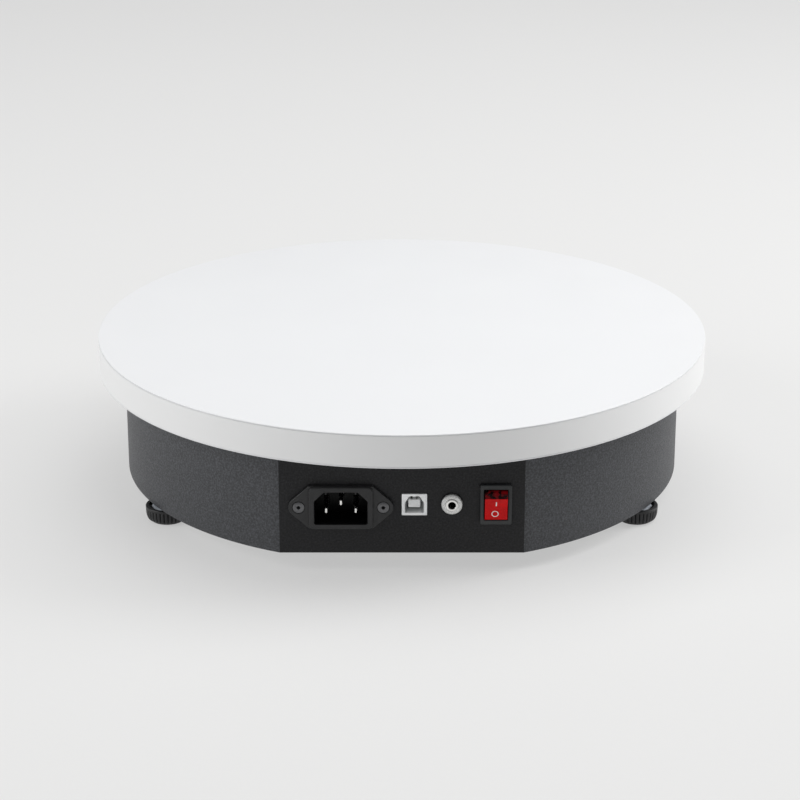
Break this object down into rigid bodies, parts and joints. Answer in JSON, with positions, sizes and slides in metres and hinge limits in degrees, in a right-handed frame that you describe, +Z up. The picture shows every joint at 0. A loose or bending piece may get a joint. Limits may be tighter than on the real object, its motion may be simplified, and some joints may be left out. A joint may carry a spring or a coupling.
{
  "type": "photography turntable",
  "caption": "Motorised turntable for product photography: a flat round white platter turns on a black steel drum with a connector panel, power switch and levelling feet.",
  "frame": {"origin": "on the floor under the platter's turning axis", "axes": "+Z up along the platter's axis, -Y out of the flat connector panel, +X to the right of someone facing that panel"},
  "size_m": [0.31, 0.31, 0.079],
  "materials": {
    "laminate_white": "smooth satin white laminate",
    "fibreboard": "raw fibreboard",
    "black_powder_coat": "fine textured black powder coat",
    "black_plastic": "moulded black plastic",
    "white_plastic": "moulded white plastic",
    "red_plastic": "translucent red plastic",
    "black_rubber": "matt rubber",
    "zinc_steel": "zinc-plated steel",
    "turned_steel": "turned steel",
    "nickel_plate": "bright nickel plate",
    "turned_aluminium": "turned aluminium",
    "circuit_green": "solder mask"
  },
  "bodies": {
    "base": {"base_shell": "black_powder_coat", "bottom_cover": "zinc_steel", "foot_bracket_left": "zinc_steel", "foot_bracket_right": "zinc_steel", "foot_bracket_rear": "zinc_steel", "cover_screw_left": "zinc_steel", "cover_screw_right": "zinc_steel", "cover_screw_rear": "zinc_steel", "inlet_socket": "black_plastic", "inlet_pin_earth": "nickel_plate", "inlet_pin_live": "nickel_plate", "inlet_pin_neutral": "nickel_plate", "inlet_screw_left": "zinc_steel", "inlet_screw_right": "zinc_steel", "usb_shell": "nickel_plate", "usb_tongue": "white_plastic", "jack_bushing": "nickel_plate", "jack_nut": "nickel_plate", "jack_body": "black_plastic", "switch_frame": "black_plastic", "bearing_housing": "turned_aluminium", "upper_outer_race": "turned_steel", "lower_outer_race": "turned_steel", "motor_bracket": "zinc_steel", "motor_body": "black_powder_coat", "timing_belt": "black_rubber", "power_supply": "zinc_steel", "control_board": "circuit_green", "board_standoff_left": "nickel_plate", "board_standoff_right": "nickel_plate", "mains_cable": "black_rubber", "supply_cable": "red_plastic", "motor_cable": "black_rubber"},
    "platter": {"top_laminate": "laminate_white", "platter_board": "fibreboard", "edge_band": "laminate_white", "bottom_laminate": "laminate_white", "platter_hub": "turned_aluminium", "hub_screw_1": "zinc_steel", "hub_screw_2": "zinc_steel", "hub_screw_3": "zinc_steel", "spindle": "turned_steel", "spindle_screw": "zinc_steel", "upper_inner_race": "turned_steel", "lower_inner_race": "turned_steel", "driven_pulley": "turned_aluminium"},
    "ball_cages": {"upper_ball_cage": "nickel_plate", "lower_ball_cage": "nickel_plate"},
    "motor_rotor": {"motor_shaft": "turned_steel", "drive_pulley": "turned_aluminium"},
    "rocker": {"rocker_button": "red_plastic"},
    "foot_left_slider": {"foot_left_pad": "black_rubber"},
    "foot_left_wheel": {"foot_left_knob": "black_plastic", "foot_left_stud": "turned_steel"},
    "foot_right_slider": {"foot_right_pad": "black_rubber"},
    "foot_right_wheel": {"foot_right_knob": "black_plastic", "foot_right_stud": "turned_steel"},
    "foot_rear_slider": {"foot_rear_pad": "black_rubber"},
    "foot_rear_wheel": {"foot_rear_knob": "black_plastic", "foot_rear_stud": "turned_steel"}
  },
  "joints": [
    {"name": "platter_spin", "type": "hinge", "parent": "base", "child": "platter", "pos_m": [0, 0, 0.07], "axis": [0, 0, 1], "continuous": true},
    {"name": "cage_spin", "type": "hinge", "parent": "base", "child": "ball_cages", "pos_m": [0, 0, 0.042], "axis": [0, 0, 1], "continuous": true},
    {"name": "motor_spin", "type": "hinge", "parent": "base", "child": "motor_rotor", "pos_m": [0, 0.072, 0.03], "axis": [0, 0, 1], "continuous": true},
    {"name": "rocker_tilt", "type": "hinge", "parent": "base", "child": "rocker", "pos_m": [0.0444, -0.1301, 0.0346], "axis": [-1, 0, 0], "range_deg": [0, 30]},
    {"name": "foot_left_height", "type": "slide", "parent": "base", "child": "foot_left_slider", "axis": [0, 0, -1], "range_m": [-0.0007, 0.008]},
    {"name": "foot_left_turn", "type": "hinge", "parent": "foot_left_slider", "child": "foot_left_wheel", "pos_m": [-0.11689, -0.06613, 0.0045], "axis": [0, 0, -1], "range_deg": [-210, 2310]},
    {"name": "foot_right_height", "type": "slide", "parent": "base", "child": "foot_right_slider", "axis": [0, 0, -1], "range_m": [-0.0007, 0.008]},
    {"name": "foot_right_turn", "type": "hinge", "parent": "foot_right_slider", "child": "foot_right_wheel", "pos_m": [0.11689, -0.06613, 0.0045], "axis": [0, 0, -1], "range_deg": [-210, 2310]},
    {"name": "foot_rear_height", "type": "slide", "parent": "base", "child": "foot_rear_slider", "axis": [0, 0, -1], "range_m": [-0.0007, 0.008]},
    {"name": "foot_rear_turn", "type": "hinge", "parent": "foot_rear_slider", "child": "foot_rear_wheel", "pos_m": [0, 0.1343, 0.0045], "axis": [0, 0, -1], "range_deg": [-210, 2310]}
  ],
  "couplings": [
    {"joint": "cage_spin", "follows": "platter_spin", "ratio": 0.41},
    {"joint": "motor_spin", "follows": "platter_spin", "ratio": 6},
    {"joint": "foot_left_turn", "follows": "foot_left_height", "rad_per_m": 5026.5},
    {"joint": "foot_right_turn", "follows": "foot_right_height", "rad_per_m": 5026.5},
    {"joint": "foot_rear_turn", "follows": "foot_rear_height", "rad_per_m": 5026.5}
  ]
}
